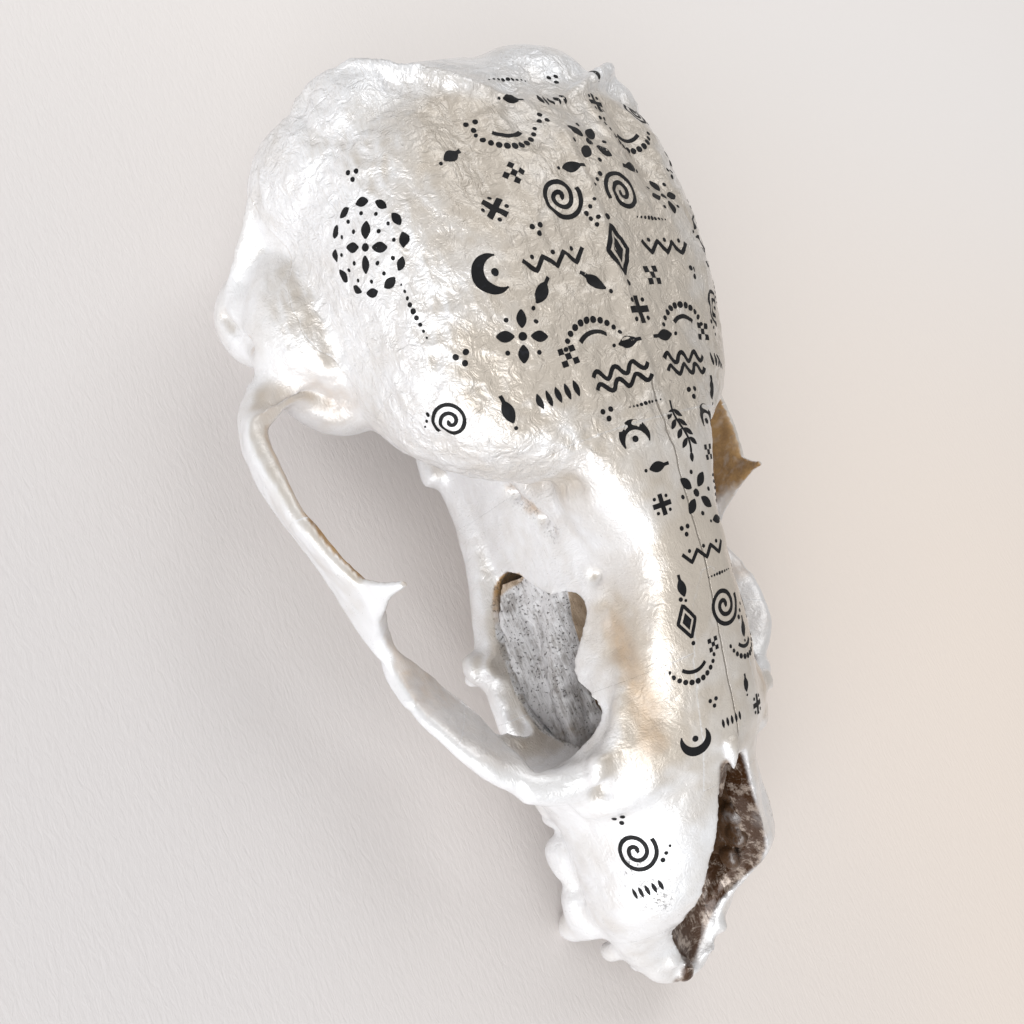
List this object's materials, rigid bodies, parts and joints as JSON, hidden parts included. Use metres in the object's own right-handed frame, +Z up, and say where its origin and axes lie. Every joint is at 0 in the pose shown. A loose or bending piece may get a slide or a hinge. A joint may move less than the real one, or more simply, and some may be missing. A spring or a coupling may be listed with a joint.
{
  "type": "seal skull",
  "caption": "Seal skull without its lower jaw, resting on its ear capsules and canine teeth, with open cheek arches and nose.",
  "frame": {"origin": "centre of the bounding box at its lowest level, on the surface that the skull lies on", "axes": "+Z up, -Y towards the snout, +X towards the animal's left"},
  "size_m": [0.1474, 0.243, 0.0968],
  "materials": {
    "painted_bone": "pearly white brushed paint over bone",
    "inner_bone": "matt brown bone"
  },
  "bodies": {
    "root": {"braincase": "painted_bone", "occiput": "painted_bone", "temporal_left": "painted_bone", "temporal_right": "painted_bone", "frontal": "painted_bone", "nasals": "painted_bone", "maxilla": "painted_bone", "premaxilla": "painted_bone", "jugal_left": "painted_bone", "jugal_right": "painted_bone", "bulla_left": "painted_bone", "bulla_right": "painted_bone", "conchae": "inner_bone"}
  },
  "joints": []
}
